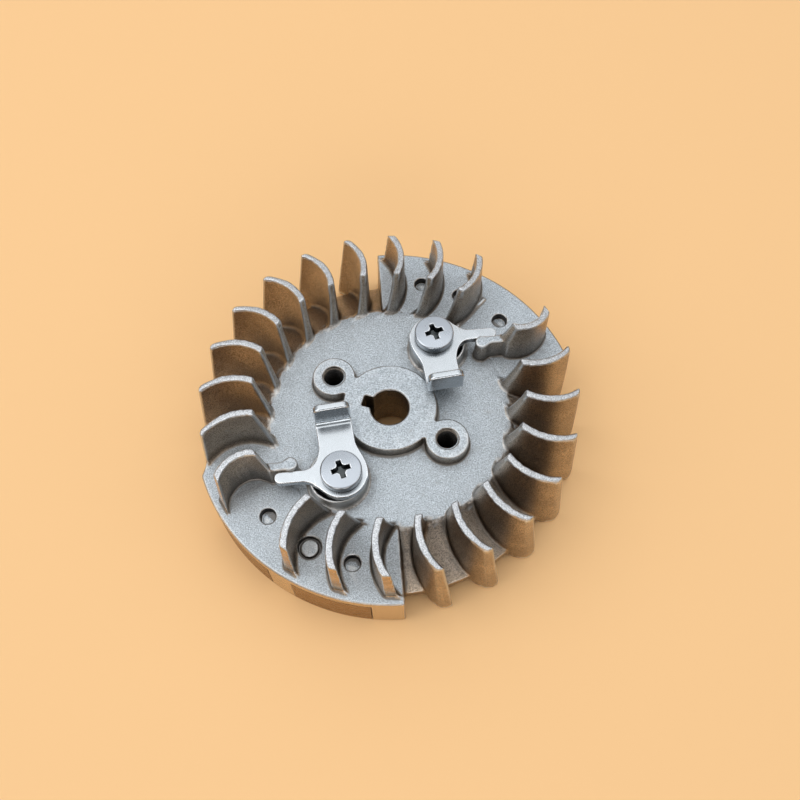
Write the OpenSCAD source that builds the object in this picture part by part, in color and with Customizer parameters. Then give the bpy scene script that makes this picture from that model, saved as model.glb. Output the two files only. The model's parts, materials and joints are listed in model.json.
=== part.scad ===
// Small-engine flywheel: a die-cast fan wheel with a magnet sector, a counterweight sector
// and two sprung starter pawls. Millimetres, +Z up along the crankshaft bore.
// The origin is on the bore's axis, level with the underside of the rim.

/* [Hub and web] */
// Outer diameter over the two rim sectors
rim_d = 100; // [98:0.5:104]
// Height of the rim sectors and of the flat web's top face
web_z = 14.3; // [13.5:0.1:15]
// Thickness of the web and of the sloping fan floor
web_t = 4; // [3.5:0.1:4.5]
// Radius where the flat web ends and the fan floor begins
web_r = 31; // [30.8:0.1:31.5]
// Diameter of the round pad about the bore
pad_d = 24.1; // [23:0.1:25]
// Height of the pad and its ears above the web
pad_h = 3.5; // [3:0.1:3.8]
// Diameter of the hub boss under the web
boss_d = 26; // [24:0.5:28]
// Outer radius of the sloping fan floor
floor_r = 44.8; // [44:0.1:45.2]
// Drop of the fan floor from the web to its outer edge
floor_drop = 9.5; // [8.5:0.1:10]

/* [Crankshaft bore] */
// Diameter of the bore's small end, on the pad's side
bore_d = 9.7; // [9.5:0.05:10]
// Length of the straight part of the bore below the pad's face
bore_land = 4.8; // [4:0.1:6]
// Width of the keyway
key_w = 3; // [2.5:0.1:3.2]
// Distance of the keyway's floor from the bore's axis
key_reach = 7.1; // [6.8:0.1:7.4]
// Direction of the keyway
key_angle = 161.5; // [155:0.5:168]
// Distance between the two puller holes
puller_pitch = 34; // [33:0.5:35]
// Direction of the line through the puller holes
puller_angle = 146.5; // [144:0.5:149]
// Diameter of the puller holes before tapping to M6
puller_d = 5; // [4.8:0.1:5.2]

/* [Fan] */
// Direction of the first vane's root line
vane_phase = -1.9; // [-3:0.1:-1]
// Thickness of a vane
vane_t = 2.2; // [2:0.1:2.4]
// Radius of a vane's curve
vane_arc_r = 13.4; // [13:0.1:14]
// Height of the vanes' inner shoulder
vane_top = 29; // [28:0.1:30]
// Fall of the vanes' top edge from the shoulder to the tip
vane_fall = 1.8; // [1:0.1:2.5]
// Radius of the vanes' tips at the top
tip_r = 46.8; // [46:0.1:47.2]

/* [Starter pawls] */
// Distance of each pawl screw from the bore's axis
screw_r = 22.4; // [22.2:0.1:22.6]
// Direction of the first pawl screw
screw_angle = 57; // [56:0.5:58]
// Thickness of the pawl plate
pawl_t = 1.9; // [1.6:0.1:2]
// Outer diameter of the pawl's eye
eye_d = 12.6; // [12:0.1:13]
// Width of the pawl's arm and tab
arm_w = 9; // [8:0.1:9.4]
// Distance from the screw's axis to the tab's far face
arm_reach = 16; // [15.5:0.1:16.2]
// Height of the tab above the pawl's underside
tab_h = 8.8; // [8:0.1:9.4]
// Width of the pawl's finger
finger_w = 3; // [2.6:0.1:3.1]
// Distance from the screw's axis to the finger's tip
finger_reach = 16.3; // [15.5:0.1:16.5]
// Diameter of the screw's head
head_d = 9.8; // [9.4:0.1:10]

/* [Magnet] */
// Thickness of one lamination of the pole shoes
lamination_t = 0.5; // [0.35:0.05:0.5]
// Number of laminations in each pole shoe
lamination_count = 22; // [18:1:22]
// Width of the magnet between the two pole shoes
magnet_w = 7; // [6:0.5:8]

/* [Hidden] */
$fn = 96;
eps = 0.01;
big = 200;
// How far a cutting shape runs past the face that it cuts
cut = 1;

// Heights
pad_z = web_z + pad_h;
hub_foot_z = 0.8;
web_under_z = web_z - web_t;
floor_z = web_z - floor_drop;
vane_foot_z = 0.4;

// Hub: the ears about the puller holes, the bore's taper and the small chamfers
ear_r = 5.45;
ear_foot_z = 6;
bore_taper = 16;
bore_chamfer = 0.2;
puller_chamfer = 0.4;
// The fan floor's outer lip
lip_h = 3;
lip_w = 1;

// Vanes: a plan arc about a centre beside the vane, cut by a side profile turned about the bore
vane_pitch = 15;
arc_centre = [38.85, 10.35];
arc_reach_y = 6;
shoulder_r = 33.4;
root_r = 30.2;
sector_foot_r = 48;
free_foot_r = 49.3;
foot_chamfer = 1.5;
foot_gap = 0.8;
// Vane steps that carry a plain vane; steps 2, 3, 14 and 15 belong to the stop vanes and their gaps
sector_vane_steps = [4, 5, 6, 16, 17, 18];
free_vane_steps = [for (step = [7:13], side = [0, 12]) (step + side) % 24];
vane_steps = concat(sector_vane_steps, free_vane_steps);

// Stop vanes: a tighter arc with a nub that the pawl's finger rests on
stop_angle = 28.1;
stop_arc_r = 8.05;
stop_centre = [40.85, 5.42];
stop_reach_y = 3;
stop_shoulder_r = 35.9;
stop_root_r = 34.3;
stop_top_z = 21.5;
stop_drop = 0.2;
nub_end = [29.17, 2.62];
nub_start = [34.6, 0.1];
nub_end_r = 1.6;
nub_start_r = 1.1;

// Rim sectors
sector_end = 92.3;
// A sector begins at a vane's hollow face, which lies between these two directions
face_from = 4;
face_to = 25;
face_overlap = 1;
blind_r = 40.7;
blind_d = 3.9;
blind_depth = 2.2;
blind_angles = [41.3, 60, 75.6];
button_d = 4.6;
button_recess_d = 5.5;
button_drop = 0.4;

// Magnet group, centred on this line of the magnet's sector
magnet_angle = 56;
shoe_inner_r = 41;
shoe_foot_z = 0.8;
shoe_half_angle = 27;
stack_h = lamination_t * lamination_count;
magnet_inner_r = 38.5;
magnet_outer_r = 47.5;
rivet_r = 1.25;
rivet_head_r = 2;
rivet_head_h = 0.4;
rivet_line_r = 45.5;
rivet_angles = [-21, -10, 10, 21];
weight_outer_r = 48.5;
weight_half_angle = 24;

// Pawl stations
pawl_gap = 0.05;
post_rise = 0.65;
post_z = pad_z + post_rise;
pawl_z = post_z + pawl_gap;
pawl_top_z = pawl_z + pawl_t;
head_z = pawl_top_z + pawl_gap;
head_h = 2.6;
head_edge = 0.35;
shoulder_bolt_r = 3.5;
eye_bore_r = shoulder_bolt_r + pawl_gap;
thread_r = 2.5;
thread_foot_z = 6;
thread_relief = 0.5;
post_r = 3.9;
cup_r = 7.2;
cup_wall = 0.7;
cup_rise = 0.4;
cup_z = pad_z + cup_rise;
cup_depth = 1.8;
cup_floor_z = web_z - cup_depth;
cup_shift = [1.05, -0.45];
screw_boss_r = 5.5;
screw_boss_foot_z = 5;
arm_angle = -82;
finger_angle = 2.5;
tab_bend_r = 2.5;
tab_corner_r = 1.8;
cross_w = 1.2;
cross_len = 4.8;
cross_depth = 1.7;
cross_turn = 18;

// Springs
wire_r = 0.35;
coil_r = 4.75;
coil_foot_z = cup_floor_z + wire_r;
coil_pitch = 0.95;
coil_turns = 4;
coil_steps = 24;
wire_sides = 8;
coil_start_angle = 17;
leg_len = 4;
leg_bend_r = 0.8;
leg_bend_steps = 4;
leg_end_gap = 0.1;

two_sides = [0, 180];
vane_names = [for (i = [0:len(vane_steps) - 1]) str("fan_vane_", i < 9 ? "0" : "", i + 1)];

// ---- plan shapes -------------------------------------------------------------------------

function turn(p, a) = [p[0] * cos(a) - p[1] * sin(a), p[0] * sin(a) + p[1] * cos(a)];

module wedge(start, end, r) {
    // A pie slice of less than a half turn
    polygon([[0, 0],
             r * [cos(start), sin(start)],
             r * [cos((start + end) / 2), sin((start + end) / 2)],
             r * [cos(end), sin(end)]]);
}

module sector_plan() {
    // From the first vane's hollow face round to the straight end wall
    first_arc = turn(arc_centre, vane_phase + vane_pitch);
    difference() {
        union() {
            intersection() {
                circle(d = rim_d);
                wedge(face_to - face_overlap, sector_end, rim_d);
            }
            intersection() {
                circle(d = rim_d);
                wedge(face_from, face_to, rim_d);
                translate(first_arc) circle(r = vane_arc_r - vane_t / 2);
            }
        }
        circle(r = web_r);
    }
}

module vane_plan(centre, arc_r, reach_y) {
    intersection() {
        difference() {
            translate(centre) circle(r = arc_r + vane_t / 2);
            translate(centre) circle(r = arc_r - vane_t / 2);
        }
        translate([0, reach_y - big]) square([big, big]);
    }
}

module turned(profile) {
    rotate_extrude() polygon(profile);
}

// ---- casting -----------------------------------------------------------------------------

module ears_plan() {
    for (side = two_sides) rotate(puller_angle + side) translate([puller_pitch / 2, 0])
        circle(r = ear_r);
}

module pad_plan() {
    circle(d = pad_d);
    ears_plan();
}

module hub_solid() {
    translate([0, 0, hub_foot_z]) cylinder(d = boss_d, h = web_z - hub_foot_z);
    translate([0, 0, web_under_z]) cylinder(r = web_r, h = web_t);
    translate([0, 0, web_z - eps]) linear_extrude(pad_h + eps) pad_plan();
    translate([0, 0, ear_foot_z]) linear_extrude(web_z - ear_foot_z) ears_plan();
}

module fan_floor() {
    // The sloping floor under the free vanes
    difference() {
        turned([[web_r - eps, web_z], [floor_r, floor_z], [floor_r, floor_z - lip_h],
                [floor_r - lip_w, floor_z - lip_h], [web_r - eps, web_under_z]]);
        for (side = two_sides) rotate(side) translate([0, 0, -cut])
            linear_extrude(web_z + 2 * cut) sector_plan();
    }
}

module pawl_station_solid() {
    // Round spring cup, standing on the web, and the boss that the screw's thread goes into
    translate([cup_shift[0], cup_shift[1], web_under_z]) cylinder(r = cup_r, h = cup_z - web_under_z);
    translate([0, 0, screw_boss_foot_z]) cylinder(r = screw_boss_r, h = web_z - screw_boss_foot_z);
}

module pawl_station_hollow() {
    difference() {
        translate([cup_shift[0], cup_shift[1], cup_floor_z])
            cylinder(r = cup_r - cup_wall, h = big);
        cylinder(r = post_r, h = post_z);
    }
    translate([0, 0, thread_foot_z]) cylinder(r = thread_r, h = big);
}

module at_screw(side) {
    rotate(side) translate([screw_r * cos(screw_angle), screw_r * sin(screw_angle), 0])
        children();
}

module mouth(r, chamfer) {
    // The chamfered mouth of a hole in the pad's face
    translate([0, 0, pad_z - chamfer]) cylinder(r1 = r, r2 = r + 2 * chamfer, h = 2 * chamfer);
}

module crank_bore() {
    taper_len = pad_z - bore_land - hub_foot_z;
    taper_foot_r = bore_d / 2 + taper_len / bore_taper;
    translate([0, 0, pad_z - bore_land - eps]) cylinder(d = bore_d, h = bore_land + cut);
    translate([0, 0, hub_foot_z]) cylinder(r1 = taper_foot_r, r2 = bore_d / 2, h = taper_len);
    translate([0, 0, -cut]) cylinder(r = taper_foot_r, h = hub_foot_z + cut + eps);
    mouth(bore_d / 2, bore_chamfer);
    rotate(key_angle) translate([0, -key_w / 2, -cut]) cube([key_reach, key_w, big]);
}

module puller_hole() {
    cylinder(d = puller_d, h = big);
    mouth(puller_d / 2, puller_chamfer);
}

module hub_and_web() {
    color("silver") difference() {
        union() {
            hub_solid();
            fan_floor();
            for (side = two_sides) at_screw(side) pawl_station_solid();
        }
        crank_bore();
        for (side = two_sides) rotate(puller_angle + side)
            translate([puller_pitch / 2, 0, 0]) puller_hole();
        for (side = two_sides) at_screw(side) pawl_station_hollow();
    }
}

module sector_solid() {
    difference() {
        linear_extrude(web_z) sector_plan();
        for (a = [blind_angles[0], blind_angles[2]]) rotate(a)
            translate([blind_r, 0, web_z - blind_depth]) cylinder(d = blind_d, h = big);
    }
}

module magnet_frame() {
    // Places things in the magnet group's own frame, with +X outwards through the magnet
    rotate(magnet_angle) children();
}

module shoe_plan(sign) {
    intersection() {
        difference() {
            circle(d = rim_d);
            circle(r = shoe_inner_r);
        }
        wedge(sign > 0 ? 0 : -shoe_half_angle, sign > 0 ? shoe_half_angle : 0, rim_d);
        translate([0, sign > 0 ? magnet_w / 2 : -big - magnet_w / 2]) square(big);
    }
}

module magnet_block() {
    translate([magnet_inner_r, -magnet_w / 2, shoe_foot_z])
        cube([magnet_outer_r - magnet_inner_r, magnet_w, stack_h]);
}

module rivet() {
    translate([0, 0, shoe_foot_z - rivet_head_h]) cylinder(r = rivet_head_r, h = rivet_head_h);
    translate([0, 0, shoe_foot_z]) cylinder(r = rivet_r, h = stack_h);
    translate([0, 0, shoe_foot_z + stack_h]) cylinder(r = rivet_head_r, h = rivet_head_h);
}

module rivets() {
    magnet_frame() for (a = rivet_angles) rotate(a) translate([rivet_line_r, 0, 0]) rivet();
}

module magnet_sector() {
    color("silver") rotate(180) difference() {
        sector_solid();
        magnet_frame() {
            for (sign = [-1, 1]) translate([0, 0, shoe_foot_z])
                linear_extrude(stack_h) shoe_plan(sign);
            magnet_block();
        }
        rivets();
        rotate(blind_angles[1]) translate([blind_r, 0, web_z - blind_depth]) difference() {
            cylinder(d = button_recess_d, h = big);
            translate([0, 0, -cut])
                cylinder(d = button_d, h = blind_depth + cut - button_drop);
        }
    }
}

module counterweight_plan() {
    intersection() {
        difference() {
            circle(r = weight_outer_r);
            circle(r = shoe_inner_r);
        }
        wedge(-weight_half_angle, weight_half_angle, rim_d);
    }
}

module counterweight_block() {
    magnet_frame() translate([0, 0, shoe_foot_z]) linear_extrude(stack_h) counterweight_plan();
}

module counterweight_sector() {
    color("silver") difference() {
        sector_solid();
        counterweight_block();
        rotate(blind_angles[1]) translate([blind_r, 0, web_z - blind_depth])
            cylinder(d = blind_d, h = big);
    }
}

// ---- vanes -------------------------------------------------------------------------------

sector_profile = [[root_r, web_z], [shoulder_r, vane_top], [tip_r, vane_top - vane_fall],
                  [sector_foot_r, web_z]];
free_profile = [[root_r, web_z], [shoulder_r, vane_top], [tip_r, vane_top - vane_fall],
                [free_foot_r, vane_foot_z + foot_chamfer],
                [free_foot_r - foot_chamfer, vane_foot_z], [floor_r + foot_gap, vane_foot_z],
                [floor_r, floor_z - lip_h], [floor_r, floor_z], [web_r, web_z]];
stop_profile = [[stop_root_r, web_z], [stop_root_r, stop_top_z],
                [stop_shoulder_r, vane_top - stop_drop], [tip_r, vane_top - vane_fall],
                [sector_foot_r, web_z]];

module vane(step) {
    is_free = len(search(step, free_vane_steps)) > 0;
    color("gainsboro") rotate(vane_phase + vane_pitch * step) intersection() {
        linear_extrude(vane_top + cut) vane_plan(arc_centre, vane_arc_r, arc_reach_y);
        turned(is_free ? free_profile : sector_profile);
    }
}

module nub_plan() {
    // A round end on a narrower neck, level with each other on the finger's side
    along = nub_start - nub_end;
    span = norm(along);
    translate(nub_end) rotate(atan2(along[1], along[0])) union() {
        circle(r = nub_end_r);
        translate([0, nub_end_r - 2 * nub_start_r])
            square([span + nub_start_r, 2 * nub_start_r]);
    }
}

module stop_vane() {
    color("gainsboro") rotate(stop_angle) {
        intersection() {
            linear_extrude(vane_top + cut) vane_plan(stop_centre, stop_arc_r, stop_reach_y);
            turned(stop_profile);
        }
        translate([0, 0, web_z]) linear_extrude(stop_top_z - web_z) nub_plan();
    }
}

// ---- magnet group ------------------------------------------------------------------------

module magnet() {
    color("dimgray") rotate(180) magnet_frame() magnet_block();
}

module pole_shoe(sign) {
    color("slategray") rotate(180) difference() {
        magnet_frame() for (layer = [0:lamination_count - 1])
            translate([0, 0, shoe_foot_z + layer * lamination_t])
                linear_extrude(lamination_t) shoe_plan(sign);
        rivets();
    }
}

module pole_shoe_rivets() {
    color("darkgray") rotate(180) rivets();
}

module counterweight() {
    color("gray") counterweight_block();
}

// ---- pawls, screws and springs -----------------------------------------------------------

module pawl_plan() {
    arm_from = eye_bore_r + cut;
    finger_to = finger_reach - finger_w / 2;
    difference() {
        union() {
            circle(d = eye_d);
            rotate(arm_angle) translate([arm_from, -arm_w / 2])
                square([arm_reach - tab_bend_r - arm_from, arm_w]);
            rotate(finger_angle) {
                translate([arm_from, -finger_w / 2]) square([finger_to - arm_from, finger_w]);
                translate([finger_to, 0]) circle(d = finger_w);
            }
        }
        circle(r = eye_bore_r);
    }
}

module tab_profile() {
    // Side view of the arm's end: some of the plate, the bend and the upright tab
    bend_x = arm_reach - tab_bend_r;
    translate([bend_x - cut, 0]) square([cut, pawl_t]);
    translate([arm_reach - pawl_t, tab_bend_r]) square([pawl_t, tab_h - tab_bend_r]);
    intersection() {
        difference() {
            translate([bend_x, tab_bend_r]) circle(r = tab_bend_r);
            translate([bend_x, tab_bend_r]) circle(r = tab_bend_r - pawl_t);
        }
        translate([bend_x, 0]) square(tab_bend_r);
    }
}

module tab_face() {
    // End view of the tab, with its two upper corners rounded
    straight_w = arm_w / 2 - tab_corner_r;
    translate([-arm_w / 2, -cut]) square([arm_w, tab_h - tab_corner_r + cut]);
    translate([-straight_w, 0]) square([2 * straight_w, tab_h]);
    for (side = [-1, 1]) translate([side * straight_w, tab_h - tab_corner_r])
        circle(r = tab_corner_r);
}

module pawl() {
    color("lightsteelblue") translate([0, 0, pawl_z]) {
        linear_extrude(pawl_t) pawl_plan();
        rotate(arm_angle) intersection() {
            translate([0, arm_w / 2, 0]) rotate([90, 0, 0]) linear_extrude(arm_w) tab_profile();
            rotate([90, 0, 90]) linear_extrude(big) tab_face();
        }
    }
}

module pawl_screw() {
    color("whitesmoke") difference() {
        union() {
            translate([0, 0, head_z]) cylinder(d = head_d, h = head_h - head_edge);
            translate([0, 0, head_z + head_h - head_edge - eps])
                cylinder(d1 = head_d, d2 = head_d - 2 * head_edge, h = head_edge + eps);
            translate([0, 0, post_z]) cylinder(r = shoulder_bolt_r, h = head_z - post_z + eps);
            translate([0, 0, thread_foot_z + thread_relief])
                cylinder(r = thread_r, h = post_z - thread_foot_z - thread_relief + eps);
        }
        translate([0, 0, head_z + head_h - cross_depth]) rotate(cross_turn) {
            translate([-cross_len / 2, -cross_w / 2, 0]) cube([cross_len, cross_w, big]);
            translate([-cross_w / 2, -cross_len / 2, 0]) cube([cross_w, cross_len, big]);
        }
    }
}

function around(a) = [cos(a), sin(a), 0];
function along(a) = [-sin(a), cos(a), 0];

function wire_ring(centre, side, up) =
    // The wire's section at one point of its line
    [for (k = [0:wire_sides - 1]) let (b = 360 * k / wire_sides)
        centre + wire_r * (cos(b) * side + sin(b) * up)];

function lower_leg() =
    // Straight off the coil's foot, across the wide side of the cup
    let (a = coil_start_angle)
    [wire_ring(coil_r * around(a) - leg_len * along(a) + [0, 0, coil_foot_z], around(a),
               [0, 0, 1])];

function coil_rings() =
    [for (step = [0:coil_turns * coil_steps])
        let (a = coil_start_angle + 360 * step / coil_steps,
             z = coil_foot_z + coil_pitch * step / coil_steps)
        wire_ring(coil_r * around(a) + [0, 0, z], around(a), [0, 0, 1])];

function upper_leg() =
    // Turns up from the coil's top and ends just under the pawl
    let (a = coil_start_angle + 360 * coil_turns,
         start = coil_r * around(a) + [0, 0, coil_foot_z + coil_pitch * coil_turns],
         bend = [for (k = [1:leg_bend_steps]) let (b = 90 * k / leg_bend_steps)
             wire_ring(start + leg_bend_r * (sin(b) * along(a) + [0, 0, 1 - cos(b)]), around(a),
                       [0, 0, cos(b)] - sin(b) * along(a))],
         top = coil_r * around(a) + leg_bend_r * along(a) + [0, 0, pawl_z - leg_end_gap])
    concat(bend, [wire_ring(top, around(a), -along(a))]);

module pawl_spring() {
    rings = concat(lower_leg(), coil_rings(), upper_leg());
    last = len(rings) - 1;
    points = [for (ring = rings, p = ring) p];
    sides = [for (step = [0:last - 1], k = [0:wire_sides - 1])
        let (a = step * wire_sides + k, b = step * wire_sides + (k + 1) % wire_sides)
        [a, b, b + wire_sides, a + wire_sides]];
    caps = [[for (k = [wire_sides - 1:-1:0]) k],
            [for (k = [0:wire_sides - 1]) last * wire_sides + k]];
    color("darkslategray") polyhedron(points, concat(sides, caps), convexity = 10);
}

// ---- nodes -------------------------------------------------------------------------------

hub_and_web();
magnet_sector();
counterweight_sector();
stop_vane();  // stop_vane_1
rotate(180) stop_vane();  // stop_vane_2
for (i = [0:len(vane_steps) - 1])
    vane(vane_steps[i]);
magnet();
pole_shoe(1);  // pole_shoe_leading
pole_shoe(-1);  // pole_shoe_trailing
pole_shoe_rivets();
counterweight();
at_screw(0) pawl();  // pawl_1
at_screw(180) pawl();  // pawl_2
at_screw(0) pawl_spring();  // pawl_spring_1
at_screw(180) pawl_spring();  // pawl_spring_2
at_screw(0) pawl_screw();  // pawl_screw_1
at_screw(180) pawl_screw();  // pawl_screw_2
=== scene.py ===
import json
import math

import bmesh
import bpy
import numpy as np
from mathutils import Matrix, Vector


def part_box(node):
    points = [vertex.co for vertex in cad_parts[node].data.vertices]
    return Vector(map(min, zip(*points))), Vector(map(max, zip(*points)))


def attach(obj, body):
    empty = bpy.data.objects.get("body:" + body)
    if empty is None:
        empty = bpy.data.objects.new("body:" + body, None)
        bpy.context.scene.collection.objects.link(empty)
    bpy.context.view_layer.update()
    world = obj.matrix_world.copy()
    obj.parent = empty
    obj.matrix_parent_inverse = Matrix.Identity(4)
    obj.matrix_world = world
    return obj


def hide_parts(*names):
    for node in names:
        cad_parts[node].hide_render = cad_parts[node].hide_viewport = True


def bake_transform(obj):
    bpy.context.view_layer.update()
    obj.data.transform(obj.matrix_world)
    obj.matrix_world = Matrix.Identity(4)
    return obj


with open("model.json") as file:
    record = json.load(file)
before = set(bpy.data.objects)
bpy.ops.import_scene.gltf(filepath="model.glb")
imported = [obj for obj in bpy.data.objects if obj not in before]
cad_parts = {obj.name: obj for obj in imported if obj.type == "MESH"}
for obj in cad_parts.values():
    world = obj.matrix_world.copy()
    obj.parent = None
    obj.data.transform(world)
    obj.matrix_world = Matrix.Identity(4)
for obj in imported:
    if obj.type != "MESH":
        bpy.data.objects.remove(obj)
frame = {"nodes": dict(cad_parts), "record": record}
for cad_node in frame["nodes"].values():
    cad_node.data.update()
bpy.context.view_layer.update()

MM = 0.001
rng = np.random.default_rng(7)

# ---- sizes in millimetres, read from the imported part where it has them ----


def node_box(node):
    low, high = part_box(node)
    return np.array(low) / MM, np.array(high) / MM


sector_high = node_box("counterweight_sector")[1]
hub_low, hub_high = node_box("hub_and_web")
vane_high = node_box("fan_vane_01")[1]
WEB_Z = float(sector_high[2])
VANE_TOP = float(vane_high[2])
HUB_FOOT_Z = float(hub_low[2])
CUP_Z = float(hub_high[2])
mounts = {m["name"]: m for m in frame["record"]["mounts"]}
PAD_Z = mounts["puller_holes"]["pos_m"][2] / MM
BORE_R = mounts["crank_bore"]["dims"]["r_mm"]
PULLER_HOLE_R = mounts["puller_holes"]["dims"]["hole_r_mm"]
PULLER_R = mounts["puller_holes"]["dims"]["pcd_mm"] / 2
screw_low, screw_high = node_box("pawl_screw_1")
SCREW_XY = ((screw_low + screw_high) / 2)[:2]
SCREW_TOP = float(screw_high[2])
SCREW_FOOT = float(screw_low[2])
pawl_low, pawl_high = node_box("pawl_1")
PAWL_Z = float(pawl_low[2])
TAB_TOP = float(pawl_high[2])
RIM_R = 50.0
WEB_T = 4.0
WEB_R = 31.0
FLOOR_R = 44.8
FLOOR_Z = WEB_Z - 9.5
BOSS_R = 13.0
PAD_R = 12.05
EAR_R = 5.45
PULLER_ANGLE = 146.5
KEY_ANGLE = 161.5
KEY_W = 3.0
KEY_REACH = 7.1
VANE_PHASE = -1.9
VANE_PITCH = 15.0
ARC_CENTRE = np.array([38.85, 10.35])
ARC_R = 13.35
STOP_ANGLE = 28.1
STOP_CENTRE = np.array([40.85, 5.42])
STOP_ARC_R = 8.05
STOP_TOP_Z = 21.5
SECTOR_END = 92.3
SECTOR_START = 24.0
SECTOR_INNER_R = 31.0
SECTOR_MID = 55.5
SECTOR_HALF = 37.5
BLIND_R = 40.7
BLIND_ANGLES = (41.3, 60.0, 75.6)
BLIND_DEPTH = 2.1
BLIND_HOLE_R = 1.95
RING_R = 2.85
BUTTON_R = 2.2
CUP_SHIFT = np.array([1.05, -0.45])
CUP_R = 7.2
CUP_WALL = 0.65
CUP_FLOOR_Z = WEB_Z - 1.8
CUP_BOSS_R = 5.5
CUP_BOSS_FOOT = 5.0
POST_R = 3.9
POST_Z = PAD_Z + 0.65
POST_BORE_R = 2.5
EAR_BOSS_FOOT = 6.0
TAPPED_R = 2.85
BORE_LAND = 4.8
BORE_TAPER = 1 / 16
RIDGE = ((19.2, 25.5), (26.9, 33.7))
RIDGE_TOP = WEB_Z + 0.45
VANE_HALF_T = 0.88
VANE_DRAFT = 0.018
VANE_TIP = (46.8, VANE_TOP - 1.8)
NUB_START, NUB_END = np.array([35.2, 0.1]), np.array([29.17, 2.62])
NUB_R = 1.6
NUB_NECK_R = 1.1
COUNTERWEIGHT_R = 48.5
COUNTERWEIGHT_HALF_ANGLE = 24
SHOE_INNER_R = 41.0
SHOE_FOOT_Z = 0.8
STACK_H = 11.0
MAGNET_ANGLE = 56.0
SHOE_HALF_ANGLE = 27.0
MAGNET_W = 7.0
HALVES = (0, 180)
DIAGONAL = 0.7071


# ---- distance fields ----


def turn(p, degrees):
    a = math.radians(degrees)
    c, s = math.cos(a), math.sin(a)
    return np.array([p[0] * c - p[1] * s, p[0] * s + p[1] * c])


EARS = [turn((PULLER_R, 0), PULLER_ANGLE + half) for half in HALVES]
SCREWS = [turn(SCREW_XY, half) for half in HALVES]
CUPS = [s + turn(CUP_SHIFT, half) for s, half in zip(SCREWS, HALVES)]


def local_plan(X, Y, degrees):
    """Plan coordinates in a frame turned by that angle."""
    a = math.radians(degrees)
    return X * math.cos(a) + Y * math.sin(a), Y * math.cos(a) - X * math.sin(a)


def away(x, y, p):
    return np.hypot(x - p[0], y - p[1])


def unit(values):
    return np.clip(values, 0, 1)


def join_round(a, b, r):
    """Union with a concave fillet of radius r."""
    u, v = np.maximum(r - a, 0), np.maximum(r - b, 0)
    return np.maximum(r, np.minimum(a, b)) - np.sqrt(u * u + v * v)


def meet_round(a, b, r):
    """Intersection with a convex edge of radius r."""
    u, v = np.maximum(r + a, 0), np.maximum(r + b, 0)
    return np.minimum(-r, np.maximum(a, b)) + np.sqrt(u * u + v * v)


def cut_round(a, b, r):
    """a without b, with rounded edges."""
    return meet_round(a, -b, r)


def turned_plan(X, Y, degrees):
    """The same for a grid's coordinates, kept three-dimensional."""
    u, v = local_plan(X[:, :, 0], Y[:, :, 0], degrees)
    return u[:, :, None], v[:, :, None]


def polygon_field(px, py, corners):
    """Signed distance to a closed polygon in the plane, negative inside."""
    best = np.full(np.broadcast(px, py).shape, 1e9, np.float32)
    inside = np.zeros(best.shape, bool)
    n = len(corners)
    for i in range(n):
        (ax, ay), (bx, by) = corners[i], corners[(i + 1) % n]
        ex, ey = bx - ax, by - ay
        wx, wy = px - ax, py - ay
        t = unit((wx * ex + wy * ey) / (ex * ex + ey * ey))
        dx, dy = wx - t * ex, wy - t * ey
        best = np.minimum(best, dx * dx + dy * dy)
        if ay != by:
            crosses = (ay > py) != (by > py)
            inside ^= crosses & (px < ex * (py - ay) / (by - ay) + ax)
    best = np.sqrt(best)
    return np.where(inside, -best, best).astype(np.float32)


def inset(corners, r):
    """A polygon with each side moved inwards by r. The corners run counter-clockwise."""
    out = []
    n = len(corners)
    for i in range(n):
        p, q, s = (np.array(corners[j % n], float) for j in (i - 1, i, i + 1))
        d1, d2 = (q - p) / np.linalg.norm(q - p), (s - q) / np.linalg.norm(s - q)
        n1, n2 = np.array([-d1[1], d1[0]]), np.array([-d2[1], d2[0]])
        base1, base2 = q + n1 * r, q + n2 * r
        det = d1[0] * d2[1] - d1[1] * d2[0]
        if abs(det) < 1e-6:
            out.append(tuple(base1))
            continue
        k = ((base2[0] - base1[0]) * d2[1] - (base2[1] - base1[1]) * d2[0]) / det
        out.append(tuple(base1 + d1 * k))
    return out


def rounded_polygon(px, py, corners, r):
    return polygon_field(px, py, inset(corners, r)) - r


def extrude(plan, Z, z0, z1, r=0.0):
    """A plan field between two heights, its edges rounded by r."""
    slab = np.abs(Z - (z0 + z1) / 2) - (z1 - z0) / 2
    return meet_round(plan, slab, r) if r else np.maximum(plan, slab)


def capsule(px, py, a, b, r):
    ax, ay = a
    ex, ey = b[0] - ax, b[1] - ay
    t = unit(((px - ax) * ex + (py - ay) * ey) / (ex * ex + ey * ey))
    return np.hypot(px - ax - t * ex, py - ay - t * ey) - r


CORNERS = [(dx, dy, dz) for dx in (0, 1) for dy in (0, 1) for dz in (0, 1)]


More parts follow.
